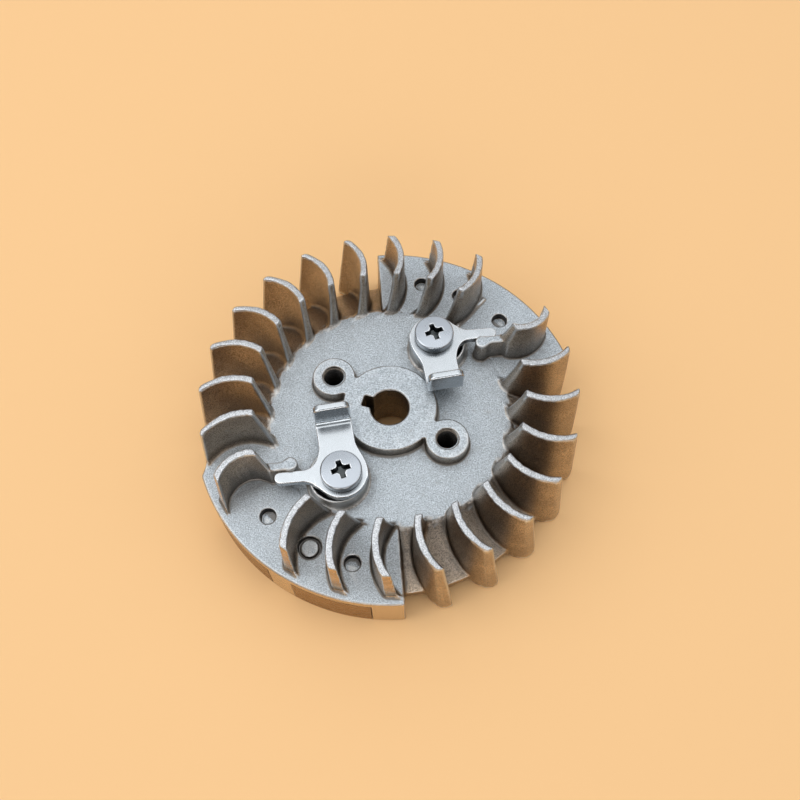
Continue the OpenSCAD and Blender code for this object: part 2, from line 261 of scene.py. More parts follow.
class Grid:
    """A box of samples h apart, and the distance field on it."""

    def __init__(self, low, high, h):
        self.h, self.low = h, np.array(low, float)
        self.n = np.ceil((np.array(high, float) - self.low) / h).astype(int) + 1
        self.x, self.y, self.z = (
            (self.low[k] + h * np.arange(self.n[k])).astype(np.float32) for k in range(3)
        )
        self.field = np.full(self.n, 5.0, np.float32)

    def part(self, low, high):
        """The slices and sample coordinates of a smaller box."""
        a = np.clip(np.floor((np.array(low) - self.low) / self.h).astype(int), 0, self.n - 1)
        b = np.clip(np.ceil((np.array(high) - self.low) / self.h).astype(int) + 1, 1, self.n)
        cut = tuple(slice(i, j) for i, j in zip(a, b))
        x, y, z = self.x[cut[0]], self.y[cut[1]], self.z[cut[2]]
        return cut, x[:, None, None], y[None, :, None], z[None, None, :]

    def about(self, p, reach, low_z, high_z):
        """The same for a square of that reach about a plan point."""
        low, high = (p[0] - reach, p[1] - reach, low_z), (p[0] + reach, p[1] + reach, high_z)
        return self.part(low, high)

    def sample(self, points):
        """The field at points, between the samples."""
        g = (points - self.low) / self.h
        i = np.clip(np.floor(g).astype(int), 0, self.n - 2)
        f = g - i
        total = 0
        for dx, dy, dz in CORNERS:
            w = np.abs(1 - dx - f[:, 0]) * np.abs(1 - dy - f[:, 1]) * np.abs(1 - dz - f[:, 2])
            total = total + w * self.field[i[:, 0] + dx, i[:, 1] + dy, i[:, 2] + dz]
        return total


def lumps(shape_low, shape_high, spacing, X, Y, Z):
    """Smooth random values between -1 and 1, with lumps that far apart."""
    low = np.array(shape_low, float) - spacing
    n = np.ceil((np.array(shape_high) - low) / spacing).astype(int) + 3
    table = rng.uniform(-1, 1, n).astype(np.float32)
    axes = []
    for k, values in enumerate((X, Y, Z)):
        g = (values - low[k]) / spacing
        i = np.clip(np.floor(g).astype(int), 0, n[k] - 2)
        f = (g - i).astype(np.float32)
        axes.append((i, f * f * (3 - 2 * f)))
    (i, fx), (j, fy), (k, fz) = axes
    total = 0
    for dx, dy, dz in CORNERS:
        w = (fx if dx else 1 - fx) * (fy if dy else 1 - fy) * (fz if dz else 1 - fz)
        total = total + w * table[i + dx, j + dy, k + dz]
    return total


def skin(grid):
    """Vertices and quads of the field's zero surface, by surface nets."""
    v = grid.field
    inside = v < 0
    n = np.array(v.shape) - 1

    def shifted(a, d):
        return a[d[0] : d[0] + n[0], d[1] : d[1] + n[1], d[2] : d[2] + n[2]]

    some, every = np.zeros(n, bool), np.ones(n, bool)
    for d in CORNERS:
        s = shifted(inside, d)
        some |= s
        every &= s
    active = some & ~every
    cells = np.argwhere(active)
    values = np.stack([v[tuple((cells + d).T)] for d in CORNERS], 1)
    total = np.zeros((len(cells), 3), np.float64)
    count = np.zeros(len(cells))
    for a in range(8):
        for b in range(a + 1, 8):
            step = np.subtract(CORNERS[b], CORNERS[a])
            if np.abs(step).sum() != 1:
                continue
            va, vb = values[:, a].astype(float), values[:, b].astype(float)
            crossing = (va < 0) != (vb < 0)
            t = np.where(crossing, va / np.where(crossing, va - vb, 1), 0)
            p = np.array(CORNERS[a]) + t[:, None] * step
            total += np.where(crossing[:, None], p, 0)
            count += crossing
    points = grid.low + grid.h * (cells + total / count[:, None])
    index = np.full(n, -1, np.int32)
    index[active] = np.arange(len(cells), dtype=np.int32)
    quads = []
    for axis in range(3):
        o1, o2 = [k for k in range(3) if k != axis]
        near, far = [slice(1, -1)] * 3, [slice(1, -1)] * 3
        near[axis], far[axis] = slice(0, -1), slice(1, None)
        here, there = inside[tuple(near)], inside[tuple(far)]
        edges = np.argwhere(here != there)
        leaving = here[tuple(edges.T)]
        ring = []
        for s, t in ((0, 0), (1, 0), (1, 1), (0, 1)):
            c = edges.copy()
            c[:, o1] += s
            c[:, o2] += t
            ring.append(index[tuple(c.T)])
        q = np.stack(ring, 1)
        flip = leaving if axis == 1 else ~leaving
        q[flip] = q[flip][:, ::-1]
        quads.append(q)
    return points, np.concatenate(quads)


def add_object(name, data):
    obj = bpy.data.objects.new(name, data)
    bpy.context.scene.collection.objects.link(obj)
    return obj


def mesh_from(name, points_mm, faces):
    mesh = bpy.data.meshes.new(name)
    size = faces.shape[1]
    mesh.vertices.add(len(points_mm))
    mesh.vertices.foreach_set("co", (points_mm * MM).astype(np.float32).ravel())
    mesh.loops.add(faces.size)
    mesh.loops.foreach_set("vertex_index", faces.astype(np.int32).ravel())
    mesh.polygons.add(len(faces))
    mesh.polygons.foreach_set("loop_start", (np.arange(len(faces)) * size).astype(np.int32))
    mesh.update(calc_edges=True)
    mesh.validate()
    return add_object(name, mesh)


def thin_out(obj, triangles):
    """Collapses the flattest parts of a mesh until it has that many triangles."""
    now = sum(len(p.vertices) - 2 for p in obj.data.polygons)
    if now <= triangles:
        return
    m = obj.modifiers.new("thin", "DECIMATE")
    m.ratio = triangles / now
    bpy.context.view_layer.update()
    dg = bpy.context.evaluated_depsgraph_get()
    mesh = bpy.data.meshes.new_from_object(obj.evaluated_get(dg), depsgraph=dg)
    obj.modifiers.clear()
    old = obj.data
    obj.data = mesh
    mesh.name = old.name
    bpy.data.meshes.remove(old)


def smooth_by_area(mesh):
    """Smooth shading with corner normals weighted by face area, so that flat faces stay flat."""
    n = len(mesh.vertices)
    mesh.calc_loop_triangles()
    tri = np.empty(len(mesh.loop_triangles) * 3, np.int32)
    mesh.loop_triangles.foreach_get("vertices", tri)
    tri = tri.reshape(-1, 3)
    co = np.empty(n * 3, np.float32)
    mesh.vertices.foreach_get("co", co)
    co = co.reshape(-1, 3).astype(np.float64)
    cross = np.cross(co[tri[:, 1]] - co[tri[:, 0]], co[tri[:, 2]] - co[tri[:, 0]])
    normal = np.zeros((n, 3))
    for k in range(3):
        for c in range(3):
            normal[:, c] += np.bincount(tri[:, k], cross[:, c], n)
    normal /= np.maximum(np.linalg.norm(normal, axis=1, keepdims=True), 1e-12)
    mesh.polygons.foreach_set("use_smooth", np.ones(len(mesh.polygons), bool))
    mesh.normals_split_custom_set_from_vertices([tuple(v) for v in normal])


# ---- the casting ----

STEP = 0.3
CASTING_TRIANGLES = 176_000


def wheel_body(g):
    """Hub boss, web and fan floor, from one table of the field over radius and height."""
    step = 0.1
    r = np.arange(0, 75, step, dtype=np.float32)[:, None]
    z = g.z[None, :]
    web = [
        (-9, WEB_Z - WEB_T), (WEB_R, WEB_Z - WEB_T), (FLOOR_R - 1, FLOOR_Z - 3),
        (FLOOR_R, FLOOR_Z - 3), (FLOOR_R, FLOOR_Z), (WEB_R, WEB_Z), (-9, WEB_Z),
    ]
    shell = rounded_polygon(r, z, web, 0.45)
    boss = extrude(r - BOSS_R, z, HUB_FOOT_Z, WEB_Z - 1, 0.5)
    table = join_round(shell, boss, 1.6)
    R = np.hypot(g.x[:, None], g.y[None, :]) / step
    i = R.astype(int)
    f = (R - i)[:, :, None].astype(np.float32)
    return table[i] * (1 - f) + table[i + 1] * f


def blind_spots():
    """The plan positions of the blind holes, and whether each is the ringed recess."""
    return [
        (turn((BLIND_R, 0), a + half), half == 180 and k == 1)
        for half in HALVES
        for k, a in enumerate(BLIND_ANGLES)
    ]


def sector(X, Y, Z):
    """One rim sector, from the first vane's hollow face to the straight end wall."""
    r = np.hypot(X, Y)
    first = turn(ARC_CENTRE, VANE_PHASE + VANE_PITCH)
    face = away(X, Y, first) - (ARC_R - 1.0)
    a0, a1 = math.radians(SECTOR_START), math.radians(SECTOR_END)
    start = X * math.sin(a0) - Y * math.cos(a0)
    end = -X * math.sin(a1) + Y * math.cos(a1)
    draft = 0.02 * (Z - WEB_Z)
    plan = np.maximum(np.minimum(face, start), SECTOR_INNER_R - r)
    plan = meet_round(plan, end + draft, 0.6)
    block = extrude(plan, Z, 0, WEB_Z, 0.35)
    rim = r - RIM_R
    # the rim is turned, and its top corner is worn round
    return meet_round(meet_round(block, rim, 0.12), (rim + Z - WEB_Z) * DIAGONAL + 0.18, 0.2)


SECTOR_PROFILE = [
    (28.8, WEB_Z - 2), (48.1, WEB_Z - 2), (48, WEB_Z), VANE_TIP, (33.4, VANE_TOP), (30.2, WEB_Z),
]
FREE_PROFILE = [
    (31, WEB_Z - 1), (44.8, 4.8), (44.8, 1.4), (45.3, 0.06), (48.9, 0.06), (49.28, 0.8),
    VANE_TIP, (33.4, VANE_TOP), (30.2, WEB_Z),
]
STOP_PROFILE = [
    (34.3, WEB_Z - 2), (48.1, WEB_Z - 2), (48, WEB_Z), VANE_TIP, (35.9, VANE_TOP - 0.2),
    (34.3, STOP_TOP_Z),
]
SECTOR_STEPS = (4, 5, 6, 16, 17, 18)
FREE_STEPS = [(step + half) % 24 for step in range(7, 14) for half in (0, 12)]
VANE_SPACE = ((-60, -60, -2), (60, 60, 32))


def stop_nub(vane, lx, ly, x, y, z, hollow):
    """A stop vane with the nub for the pawl's finger, flush with the hollow face."""
    along = (NUB_END - NUB_START) / np.linalg.norm(NUB_END - NUB_START)
    up = np.array([along[1], -along[0]])
    neck = capsule(lx, ly, tuple(NUB_START + 0.5 * up), tuple(NUB_END + 0.5 * up), NUB_NECK_R)
    plan = join_round(neck, away(lx, ly, NUB_END) - NUB_R, 1.0)
    plan = np.maximum(plan, hollow)
    rough = lumps(*VANE_SPACE, 0.9, x, y, z) * 0.07
    nub = extrude(plan - 0.012 * (STOP_TOP_Z - z), z, WEB_Z - 2, STOP_TOP_Z, 0.25)
    nub += np.abs(rough) * (z > STOP_TOP_Z - 0.8)
    return join_round(vane, nub, 0.3)


def add_vanes(g):
    """The sectors' vanes, the free vanes with their ends below the floor, and the stop vanes."""
    steps = [*SECTOR_STEPS, *FREE_STEPS]
    jobs = [(VANE_PHASE + VANE_PITCH * step, step in SECTOR_STEPS, False) for step in steps]
    jobs += [(STOP_ANGLE + half, True, True) for half in HALVES]
    for angle, on_sector, is_stop in jobs:
        mid = turn((39.5, -1.5), angle)
        cut, x, y, z = g.about(mid, 13.5, WEB_Z - 3 if on_sector else -0.9, VANE_TOP + 1)
        lx, ly = turned_plan(x, y, angle)
        centre, arc_r = (STOP_CENTRE, STOP_ARC_R) if is_stop else (ARC_CENTRE, ARC_R)
        profile = STOP_PROFILE if is_stop else SECTOR_PROFILE if on_sector else FREE_PROFILE
        radius = np.hypot(lx, ly)
        rho = away(lx, ly, centre) - arc_r
        half_t = VANE_HALF_T + VANE_DRAFT * np.clip(VANE_TOP - z, 0, 16)
        # the arc's far side isn't part of the vane
        plate = np.maximum(np.abs(rho) - half_t, ly - 4.5)
        side = polygon_field(radius, z, profile)
        rough = lumps(*VANE_SPACE, 0.8, x, y, z) * 0.12
        top = unit((z - VANE_TOP + 3) / 3)
        # the inner end is full round below the ground top, and a free vane's outer end is rounded
        inner = unit((VANE_TOP - 1.0 - z) / 2.5) * unit((37 - radius) / 3)
        outer = 0.0 if on_sector else 0.55 * unit((radius - 41) / 3)
        outer = outer * np.clip((VANE_TOP - 0.6 - z) / 1.0, 0.35, 1)
        chips = unit((4.5 - z) / 2) * unit((radius - 46) / 1.5)
        worn = np.abs(rough) * (top + 2.5 * chips)
        edge_r = 0.25 + np.maximum(0.6 * inner, outer)
        vane = meet_round(plate + rough * 0.6 * top, side + worn, edge_r)
        fillet = 0.85 + 0.5 * unit(-rho / 1.2)
        if is_stop:
            vane = stop_nub(vane, lx, ly, x, y, z, -half_t - rho)
            fillet = 0.4
        g.field[cut] = join_round(g.field[cut], vane, fillet)


def build_casting():
    g = Grid((-51.13, -51.17, -0.97), (51.2, 51.2, VANE_TOP + 1.1), STEP)
    X, Y, Z = g.x[:, None, None], g.y[None, :, None], g.z[None, None, :]
    g.field = wheel_body(g)
    # the web's edge is ragged where it drops to the fan floor
    ragged = unit(1 - np.abs(np.hypot(X, Y) - WEB_R - 0.3) / 1.6)
    ragged = ragged * unit((Z - WEB_Z + 3) / 2)
    g.field += ragged * np.abs(lumps((-52, -52, -2), (52, 52, 32), 1.1, X, Y, Z)) * 0.35

    # rim sectors
    for half in HALVES:
        block = sector(*turned_plan(X, Y, half), Z)
        # no fillet where the two tops, or the two feet, lie in one plane
        g.field = join_round(g.field, block, 0.9 * unit((WEB_Z - 1.5 - Z) / 2))

    # pad and ears
    cut, x, y, z = g.about((0, 0), 25, WEB_Z - 3, CUP_Z + 2)
    plan = np.hypot(x, y) - PAD_R
    for ear in EARS:
        plan = join_round(plan, away(x, y, ear) - EAR_R, 0.9)
    pad = extrude(plan + 0.03 * (z - PAD_Z), z, WEB_Z - 4, PAD_Z, 0.22)
    g.field[cut] = join_round(g.field[cut], pad, 0.45)
    for ear in EARS:
        # the ear's boss under the web
        cut, x, y, z = g.about(ear, 9, 3, WEB_Z + 1)
        boss = extrude(away(x, y, ear) - EAR_R, z, EAR_BOSS_FOOT, WEB_Z - 1, 0.5)
        g.field[cut] = join_round(g.field[cut], boss, 1.2)

    add_vanes(g)

    # a low straight ridge from each cup to the foot of a vane
    for half in HALVES:
        a, b = turn(RIDGE[0], half), turn(RIDGE[1], half)
        mid = (a + b) / 2
        cut, x, y, z = g.about(mid, 9, WEB_Z - 2, WEB_Z + 2)
        plan = capsule(x, y, tuple(a), tuple(b), 0.2) - 0.6 * (RIDGE_TOP - z)
        ridge = extrude(plan, z, WEB_Z - 1, RIDGE_TOP, 0.15)
        g.field[cut] = join_round(g.field[cut], ridge, 0.3)

    # spring cups, their wells and the screw posts
    for s, c in zip(SCREWS, CUPS):
        cut, x, y, z = g.about(s, 11, 3, CUP_Z + 2)
        rc, rs = away(x, y, c), away(x, y, s)
        outer = extrude(rc - CUP_R - 0.03 * (CUP_Z - z), z, WEB_Z - 3, CUP_Z, 0.2)
        boss = extrude(rs - CUP_BOSS_R, z, CUP_BOSS_FOOT, WEB_Z - 1, 0.6)
        f = join_round(g.field[cut], boss, 1.2)
        f = join_round(f, outer, 1.1)
        well = extrude(rc - (CUP_R - CUP_WALL), z, CUP_FLOOR_Z, CUP_Z + 9)
        f = cut_round(f, well, 0.12)
        post = extrude(rs - POST_R, z, CUP_FLOOR_Z - 1, POST_Z, 0.2)
        f = join_round(f, post, 0.4)
        g.field[cut] = np.maximum(f, -extrude(rs - POST_BORE_R, z, 6, POST_Z + 9))

    # bore, keyway and puller holes
    cut, x, y, z = g.about((0, 0), 9, -0.97, PAD_Z + 2)
    r = np.hypot(x, y)
    bore = r - (BORE_R + np.clip(PAD_Z - BORE_LAND - z, 0, 99) * BORE_TAPER)
    bore = np.minimum(bore, (r - BORE_R + (PAD_Z - z)) * DIAGONAL - 0.25)
    kx, ky = turned_plan(x, y, KEY_ANGLE)
    key = np.maximum(np.maximum(np.abs(ky) - KEY_W / 2, kx - KEY_REACH), -kx)
    g.field[cut] = cut_round(g.field[cut], np.minimum(bore, key), 0.1)
    for e in EARS:
        cut, x, y, z = g.about(e, 6, 3, PAD_Z + 2)
        r = away(x, y, e)
        hole = np.minimum(r - TAPPED_R, (r - 3.0 + (PAD_Z - z)) * DIAGONAL)
        g.field[cut] = cut_round(g.field[cut], hole, 0.1)

    # blind holes; the magnet's sector has a ringed recess with a round button in the middle
    for p, ringed in blind_spots():
        cut, x, y, z = g.about(p, 4, WEB_Z - 4, WEB_Z + 1)
        r = away(x, y, p)
        hole_r, depth = (RING_R, 1.5) if ringed else (BLIND_HOLE_R, BLIND_DEPTH)
        hole = extrude(r - hole_r, z, WEB_Z - depth, WEB_Z + 9)
        if ringed:
            hole = np.maximum(hole, -extrude(r - BUTTON_R, z, 0, WEB_Z - 0.35))
        g.field[cut] = cut_round(g.field[cut], hole, 0.1)

    # pockets for the pole shoes, the magnet and the counterweight
    for half in (180, 0):
        lx, ly = local_plan(X[:, :, 0], Y[:, :, 0], MAGNET_ANGLE + half)
        r, a = np.hypot(lx, ly), np.degrees(np.arctan2(ly, lx))
        if half:
            edge = np.radians(np.abs(a) - SHOE_HALF_ANGLE) * r
            pocket = np.maximum(np.maximum(SHOE_INNER_R - r, edge), MAGNET_W / 2 - np.abs(ly))
            block = np.maximum(np.abs(lx - 43) - 4.5, np.abs(ly) - MAGNET_W / 2)
            pocket = np.minimum(pocket, block)
        else:
            edge = np.radians(np.abs(a) - COUNTERWEIGHT_HALF_ANGLE) * r
            pocket = np.maximum(np.maximum(SHOE_INNER_R - r, edge), r - COUNTERWEIGHT_R)
        pocket = np.where(lx > 0, pocket, 9)[:, :, None]
        g.field = np.maximum(g.field, -extrude(pocket, Z, SHOE_FOOT_Z, SHOE_FOOT_Z + STACK_H))
    # nothing stands out below the rim's foot or beyond its radius
    g.field = np.maximum(g.field, np.maximum(0.02 - Z, np.hypot(X, Y) - (RIM_R - 0.01)))
    return g


def thread_liner(ear):
    """The tapped wall of one puller hole: a closed sleeve that is sunk in the hub."""
    around, per_turn, low, high, sleeve_r = 56, 8, 6.2, PAD_Z - 0.45, 3.1
    levels = int((high - low) * per_turn)
    a = 2 * np.pi * np.arange(around) / around
    rings = []
    for k in range(levels + 1):
        z = low + (high - low) * k / levels
        saw = np.abs(((z - a / (2 * np.pi)) % 1.0) - 0.5) * 2
        rings.append((PULLER_HOLE_R + 0.45 * unit(saw * 1.3 - 0.15), z))
    rings += [(np.full(around, sleeve_r), high), (np.full(around, sleeve_r), low)]
    points = [
        np.stack([ear[0] + r * np.cos(a), ear[1] + r * np.sin(a), np.full(around, z)], 1)
        for r, z in rings
    ]
    return np.concatenate(points), loop_faces(len(rings), around, True)


def loop_faces(rows, around, closed_rows):
    """Quads between rings of points. The last ring joins the first when closed_rows is set."""
    k = np.arange(rows if closed_rows else rows - 1)[:, None]
    j = np.arange(around)[None, :]
    here, there = k * around, (k + 1) % rows * around
    turned = (j + 1) % around
    return np.stack([here + j, here + turned, there + turned, there + j], 2).reshape(-1, 4)


def bend_of(obj, grid, reach):
    """How the surface bends over that distance: above 0 on outer edges, below 0 in corners."""
    co = places(obj)
    bend = -6 * grid.sample(co)
    for k in range(3):
        step = np.zeros(3)
        step[k] = reach
        bend += grid.sample(co + step) + grid.sample(co - step)
    return bend / reach


def edge_tone(obj, grid, reach):
    """Stores how far each point is on an outer edge (1) or in a corner (0), 0.5 being flat."""
    store(obj, "edge", unit(0.5 + 0.45 * bend_of(obj, grid, reach)))


def store(obj, name, values):
    attribute = obj.data.attributes.new(name, "FLOAT", "POINT")
    attribute.data.foreach_set("value", values.astype(np.float32))


def places(obj):
    """The mesh's points, in millimetres."""
    co = np.empty(len(obj.data.vertices) * 3, np.float32)
    obj.data.vertices.foreach_get("co", co)
    return co.reshape(-1, 3).astype(float) / MM


def hole_depths(p):
    """Where to paint shade: 1 deep inside the casting's holes, wells and keyway, and 0 outside."""
    x, y, z = p.T
    r = np.hypot(x, y)
    recess_shade = np.zeros(len(p))

    def sink(plan, mouth, fade):
        deep = unit((mouth - z) / fade)
        return np.where(plan < 0, deep, 0)

    for e, c in zip(EARS, CUPS):
        recess_shade = np.maximum(recess_shade, sink(away(x, y, e) - 3.15, PAD_Z - 0.2, 1.6))
        well = np.where(z > CUP_FLOOR_Z - 0.5, away(x, y, c) - 6.7, 1)
        recess_shade = np.maximum(recess_shade, sink(well, CUP_Z - 0.3, 2.0))
    kx, ky = local_plan(x, y, KEY_ANGLE)
    key = np.maximum(np.maximum(np.abs(ky) - 1.7, kx - 7.4), BORE_R + 0.15 - r)
    return np.maximum(recess_shade, sink(np.where(kx > 0, key, 1), PAD_Z - 0.2, 1.0))


def blind_holes(p):
    """Where to paint shade on the walls of the sectors' blind holes: 1 inside them, 0.6 in the
    ringed recess.
    """
    out = np.zeros(len(p))
    for q, ringed in blind_spots():
        inside = away(p[:, 0], p[:, 1], q) < (3.1 if ringed else 2.3)
        out = np.where(inside & (p[:, 2] < WEB_Z - 0.12), 0.6 if ringed else 1.0, out)
    return out


def cup_walls(p):
    """1 on the bright thin walls of the spring cups, and 0 elsewhere."""
    out = np.zeros(len(p))
    for c in CUPS:
        wall = np.abs(away(p[:, 0], p[:, 1], c) - CUP_R)
        out = np.maximum(out, unit((0.9 - wall) / 0.3) * (p[:, 2] > WEB_Z + 0.2))
    return out


def web_brim(p):
    """1 where the web's edge drops to the fan floor, 0 where a sector runs on from it."""
    x, y, z = p.T
    a = np.degrees(np.arctan2(y, x)) % 180
    free = ((a > SECTOR_END) | (a < 17)).astype(float)
    edge = unit(1.5 - np.abs(np.hypot(x, y) - 30.6) / 1.1)
    return free * edge * unit(1.4 - np.abs(z - WEB_Z + 0.1) / 0.9)


def join_into(target, others):
    bpy.ops.object.select_all(action="DESELECT")
    for o in (target, *others):
        o.select_set(True)
    bpy.context.view_layer.objects.active = target
    bpy.ops.object.join()


casting_grid = build_casting()
casting = mesh_from("wheel_casting", *skin(casting_grid))
thin_out(casting, CASTING_TRIANGLES)
edge_tone(casting, casting_grid, 0.55)
# painted shade in concave corners, from how the surface bends over 1.7 mm
store(casting, "corner_shade", unit(-bend_of(casting, casting_grid, 1.7) - 0.1))
liners = [mesh_from(f"thread_{k + 1}", *thread_liner(ear)) for k, ear in enumerate(EARS)]
for liner in liners:
    store(liner, "edge", np.full(len(liner.data.vertices), 0.5))
join_into(casting, liners)
for tone, values in (
    ("recess_shade", hole_depths), ("blind", blind_holes), ("cup", cup_walls), ("brim", web_brim),
):
    store(casting, tone, values(places(casting)))
smooth_by_area(casting.data)
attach(casting, "flywheel")
CASTING_NAMES = ("fan_vane_", "stop_vane_", "hub_and_web", "magnet_sector", "counterweight_sector")
CASTING_NODES = [n for n in frame["nodes"] if n.startswith(CASTING_NAMES)]
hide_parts(*sorted(CASTING_NODES))

# ---- pawls, screws, springs and pole shoes ----

EYE_R = 6.3
EYE_BORE_R = 3.55
ARM_ANGLE = -82.0
ARM_HALF_W = 4.5
ARM_REACH = 16.0
BEND_R = 3.3
PAWL_T = 1.9
PLATE_EDGE_R = 0.22
FINGER_ANGLE = 2.5
FINGER_R = 1.5
FINGER_REACH = 16.3
HEAD_R = 5.08
HEAD_Z = PAWL_Z + PAWL_T + 0.12
DOME_R = 42
SHOULDER_R = 3.5
SHANK_R = 2.45
CROSS_TURN = 18.0
CROSS_REACH = 2.45
CROSS_HALF_W = 0.62
CROSS_DEPTH = 2.1
WIRE_SIDES = 14


def pawl_grid():
    """A stamped plate about the screw's axis: eye, finger, and an arm with its end bent up."""
    g = Grid((-7.1, -17.2, PAWL_Z - 0.47), (17.1, 7.2, TAB_TOP + 0.5), 0.13)
    X, Y, Z = g.x[:, None], g.y[None, :], g.z[None, None, :]
    u, v = local_plan(X, Y, ARM_ANGLE)
    f, w = local_plan(X, Y, FINGER_ANGLE)
    eye = np.hypot(X, Y) - EYE_R
    arm = np.maximum(np.abs(v) - ARM_HALF_W, np.abs(u - 6) - 6)
    finger = capsule(f, w, (0, 0), (FINGER_REACH - FINGER_R, 0), FINGER_R)
    plan = join_round(join_round(eye, arm, 3.0), finger, 3.2)
    plan = np.maximum(plan, EYE_BORE_R - np.hypot(X, Y))
    plate = extrude(plan[:, :, None], Z, PAWL_Z, PAWL_Z + PAWL_T, PLATE_EDGE_R)
    u, v = u[:, :, None], v[:, :, None]
    outside = meet_round(u - ARM_REACH, PAWL_Z - Z, BEND_R)
    strip = np.abs(outside + PAWL_T / 2) - PAWL_T / 2
    sides = meet_round(np.abs(v) - ARM_HALF_W, Z - TAB_TOP, 1.7)
    edge_r = PLATE_EDGE_R + 0.3 * unit((Z - PAWL_Z - 3) / 2)
    tab = meet_round(strip, np.maximum(sides, 7.5 - u), edge_r)
    g.field = np.minimum(plate, tab).astype(np.float32)
    return g


def screw_grid():
    """A pan-head shoulder screw about its axis, with a cross recess."""
    g = Grid((-5.3, -5.35, SCREW_FOOT - 0.5), (5.4, 5.4, SCREW_TOP + 0.43), 0.1)
    X, Y, Z = g.x[:, None, None], g.y[None, :, None], g.z[None, None, :]
    r = np.hypot(X, Y)
    dome = np.hypot(r, Z - (SCREW_TOP - DOME_R)) - DOME_R
    head = meet_round(np.maximum(r - HEAD_R, HEAD_Z - Z), dome, 0.42)
    head = meet_round(head, HEAD_Z - Z, 0.15)
    shoulder = extrude(r - SHOULDER_R, Z, POST_Z, HEAD_Z + 1)
    shank = extrude(r - SHANK_R, Z, SCREW_FOOT, POST_Z + 1, 0.4)
    body = np.minimum(np.minimum(head, shoulder), shank)
    cx, cy = (np.abs(c) for c in turned_plan(X, Y, CROSS_TURN))
    down = SCREW_TOP - Z
    wings = [
        np.maximum(a - CROSS_REACH + 0.45 * down, b - CROSS_HALF_W + 0.08 * down)
        for a, b in ((cx, cy), (cy, cx))
    ]
    core = (cx + cy) * DIAGONAL - 1.25 + 0.12 * down
    cross = np.maximum(join_round(np.minimum(*wings), core, 0.2), down - CROSS_DEPTH)
    g.field = cut_round(body, cross, 0.12).astype(np.float32)
    return g


def close_ends(obj, rings, around):
    """Closes a tube of rings at both ends."""
    bm = bmesh.new()
    bm.from_mesh(obj.data)
    bm.verts.ensure_lookup_table()
    last = (rings - 1) * around
    bm.faces.new([bm.verts[i] for i in reversed(range(around))])
    bm.faces.new([bm.verts[last + i] for i in range(around)])
    bmesh.ops.recalc_face_normals(bm, faces=bm.faces)
    # a pole shoe's outline is hollow, so its ends are cut into triangles
    bmesh.ops.triangulate(bm, faces=[f for f in bm.faces if len(f.verts) > WIRE_SIDES])
    bm.to_mesh(obj.data)
    bm.free()


def wire_points(per_turn):
    """The spring's wire: a straight foot across the cup, the coil, and a leg up to the pawl."""
    wire_r, coil_r, start = 0.35, 4.75, math.radians(17)
    foot_z, pitch, turns, foot_len, bend_r = CUP_FLOOR_Z + 0.35, 0.95, 4, 4.0, 0.8
    lines = []

    def ring(centre, side, up):
        b = 2 * np.pi * np.arange(WIRE_SIDES)[:, None] / WIRE_SIDES
        lines.append(np.array(centre) + wire_r * (np.cos(b) * side + np.sin(b) * up))

    def out(a):
        return np.array([math.cos(a), math.sin(a), 0])

    def along(a):
        return np.array([-math.sin(a), math.cos(a), 0])

    up = np.array([0, 0, 1.0])
    for k in range(8):
        back = foot_len * (1 - k / 8)
        ring(coil_r * out(start) - back * along(start) + foot_z * up, out(start), up)
    for k in range(turns * per_turn + 1):
        a = start + 2 * math.pi * k / per_turn
        ring(coil_r * out(a) + (foot_z + pitch * k / per_turn) * up, out(a), up)
    a = start
    top = coil_r * out(a) + (foot_z + pitch * turns) * up
    for k in range(1, 9):
        c = math.pi / 2 * k / 8
        bend = math.sin(c) * along(a) + (1 - math.cos(c)) * up
        ring(top + bend_r * bend, out(a), math.cos(c) * up - math.sin(c) * along(a))
    end = top + bend_r * along(a)
    ring([end[0], end[1], PAWL_Z - 0.1], out(a), -along(a))
    return np.concatenate(lines), len(lines)


def spring_mesh(name):
    points, rows = wire_points(48)
    obj = mesh_from(name, points, loop_faces(rows, WIRE_SIDES, False))
    close_ends(obj, rows, WIRE_SIDES)
    return obj


def shoe_outline(sign):
    """The pole shoe's plan, counter-clockwise, in the magnet's frame, and its outward normals."""
    half_w, far = MAGNET_W / 2, math.radians(SHOE_HALF_ANGLE)
    points = []
    for r, count, outward in ((RIM_R, 48, True), (SHOE_INNER_R, 40, False)):
        near = math.asin(half_w / r)
        a = np.linspace(near, far, count)
        arc = np.stack([r * np.cos(a), r * np.sin(a)], 1)
        points.append(arc if outward else arc[::-1])
    p = np.concatenate(points)
    if sign < 0:
        p = (p * [1, -1])[::-1]
    step = np.roll(p, -1, 0) - np.roll(p, 1, 0)
    normal = np.stack([step[:, 1], -step[:, 0]], 1)
    return p, normal / np.linalg.norm(normal, axis=1, keepdims=True)


def shoe_mesh(name, sign):
    """A stack of steel laminations, each with a fine groove to its neighbour."""
    plan, normal = shoe_outline(sign)
    layers, groove, lip = 22, 0.035, 0.05
    t = STACK_H / layers
    levels = [(0, 0.0)]
    for k in range(layers):
        levels += [(k * t + lip, 0.0), ((k + 1) * t - lip, 0.0), ((k + 1) * t, groove)]
    levels[-1] = (STACK_H, 0.0)
    rows = []
    for z, depth in levels:
        ring = plan - normal * depth
        rows.append(np.column_stack([ring, np.full(len(ring), SHOE_FOOT_Z + z)]))
    a = math.radians(MAGNET_ANGLE + 180)
    spin = np.array([[math.cos(a), math.sin(a), 0], [-math.sin(a), math.cos(a), 0], [0, 0, 1]])
    points = np.concatenate(rows) @ spin
    obj = mesh_from(name, points, loop_faces(len(levels), len(plan), False))
    close_ends(obj, len(levels), len(plan))
    return obj


def sharp_smooth(obj, degrees):
    """Smooth shading with edges sharper than that angle kept."""
    obj.data.polygons.foreach_set("use_smooth", np.ones(len(obj.data.polygons), bool))
    obj.data.set_sharp_from_angle(angle=math.radians(degrees))


